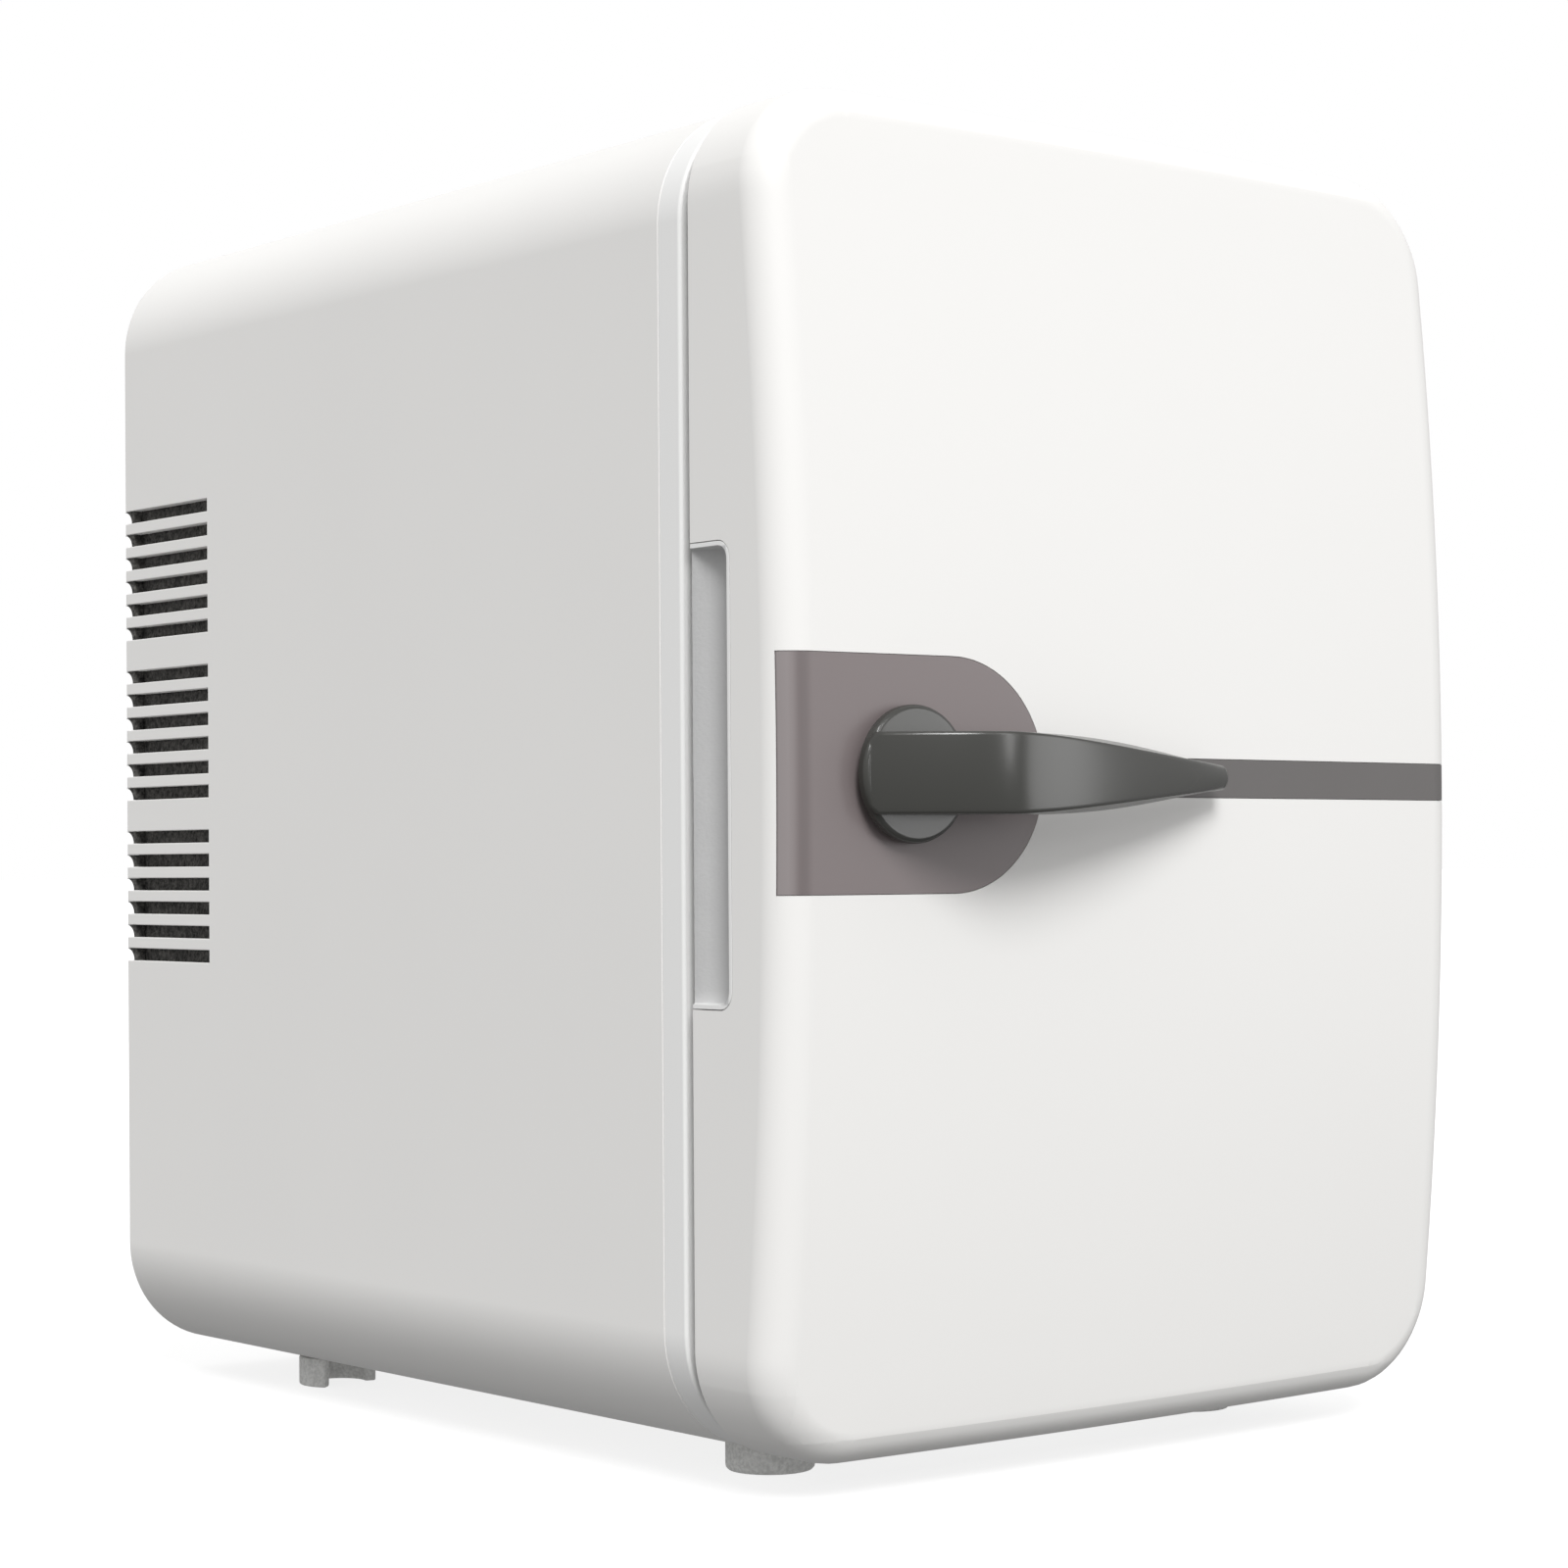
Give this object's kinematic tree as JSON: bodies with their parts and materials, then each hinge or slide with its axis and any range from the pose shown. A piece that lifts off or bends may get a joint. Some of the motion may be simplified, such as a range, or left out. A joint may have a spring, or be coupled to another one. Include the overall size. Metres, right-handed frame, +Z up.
{
  "type": "mini fridge",
  "caption": "Small thermoelectric fridge: rounded white cabinet with side louvres, crowned hinged door with finger recess, turning lever on an inlaid plate, shelf and rear cooling unit.",
  "frame": {"origin": "under the middle of the whole fridge, on the surface it stands on", "axes": "+X to the right as seen from the front, +Y to the back, +Z up; the door faces -Y"},
  "size_m": [0.1818, 0.2552, 0.2505],
  "materials": {
    "shell_plastic": "fine satin grain, warm light grey-white",
    "door_plastic": "smooth semi-gloss white",
    "frame_plastic": "smooth satin cool white",
    "liner_plastic": "smooth satin white",
    "foam": "rigid closed-cell foam",
    "filter_foam": "open-cell foam, black",
    "foot_rubber": "matt light grey rubber",
    "seal_rubber": "soft grey magnetic seal",
    "plate_plastic": "satin warm taupe grey",
    "lever_plastic": "satin dark grey",
    "stripe_plastic": "satin dark grey",
    "black_plastic": "matt black",
    "aluminium": "extruded and cut",
    "steel": "zinc plated",
    "circuit_board": "green solder mask",
    "ceramic": "white ceramic plates",
    "green_lens": "clear tinted lens",
    "red_lens": "clear tinted lens"
  },
  "bodies": {
    "cabinet": {"outer_shell": "shell_plastic", "rear_cover": "shell_plastic", "front_frame": "frame_plastic", "hinge_cabinet_top": "frame_plastic", "hinge_cabinet_bottom": "frame_plastic", "keeper": "steel", "hinge_pin_top": "steel", "hinge_pin_bottom": "steel", "transformer": "steel", "cover_screw_1": "steel", "cover_screw_2": "steel", "cover_screw_3": "steel", "cover_screw_4": "steel", "hot_fan_screw_1": "steel", "hot_fan_screw_2": "steel", "hot_fan_screw_3": "steel", "hot_fan_screw_4": "steel", "inner_liner": "liner_plastic", "shelf": "liner_plastic", "cold_fan_guard": "liner_plastic", "insulation_foam": "foam", "air_filter_left": "filter_foam", "air_filter_right": "filter_foam", "foot_front_left": "foot_rubber", "foot_front_right": "foot_rubber", "foot_rear_left": "foot_rubber", "foot_rear_right": "foot_rubber", "cold_fan_frame": "black_plastic", "rear_chassis": "black_plastic", "hot_fan_frame": "black_plastic", "power_inlet": "black_plastic", "car_socket": "black_plastic", "switch_housing": "black_plastic", "cold_sink": "aluminium", "hot_sink": "aluminium", "peltier_module": "ceramic", "cool_light": "green_lens", "warm_light": "red_lens", "power_board": "circuit_board"},
    "door": {"door_shell": "door_plastic", "finger_cup": "door_plastic", "door_foam": "foam", "door_liner": "liner_plastic", "door_gasket": "seal_rubber", "handle_plate": "plate_plastic", "stripe_trim": "stripe_plastic", "hinge_door_top": "door_plastic", "hinge_door_bottom": "door_plastic", "latch_guide": "black_plastic"},
    "lever": {"lever_handle": "lever_plastic", "lever_shaft": "steel", "latch_pinion": "steel", "shaft_clip": "steel"},
    "bolt": {"latch_bolt": "steel"},
    "hot_fan": {"hot_fan_rotor": "black_plastic"},
    "cold_fan": {"cold_fan_rotor": "black_plastic"},
    "rocker": {"mode_switch": "black_plastic"}
  },
  "joints": [
    {"name": "door_hinge", "type": "hinge", "parent": "cabinet", "child": "door", "pos_m": [0.08775, -0.08101, 0.1285], "axis": [0, 0, 1], "range_deg": [0, 120]},
    {"name": "lever_turn", "type": "hinge", "parent": "door", "child": "lever", "pos_m": [-0.06415, -0.11051, 0.1285], "axis": [0, 1, 0], "range_deg": [0, 90]},
    {"name": "bolt_slide", "type": "slide", "parent": "door", "child": "bolt", "axis": [-1, 0, 0], "range_m": [0, 0.00708]},
    {"name": "hot_fan_spin", "type": "hinge", "parent": "cabinet", "child": "hot_fan", "pos_m": [-0.00335, 0.10849, 0.1425], "axis": [0, 1, 0], "continuous": true},
    {"name": "cold_fan_spin", "type": "hinge", "parent": "cabinet", "child": "cold_fan", "pos_m": [-0.00335, 0.06449, 0.1425], "axis": [0, 1, 0], "continuous": true},
    {"name": "mode_switch_rock", "type": "hinge", "parent": "cabinet", "child": "rocker", "pos_m": [0.03465, 0.12339, 0.0405], "axis": [1, 0, 0], "range_deg": [-10, 10]}
  ],
  "couplings": [
    {"joint": "bolt_slide", "follows": "lever_turn", "m_per_rad": 0.0045}
  ]
}
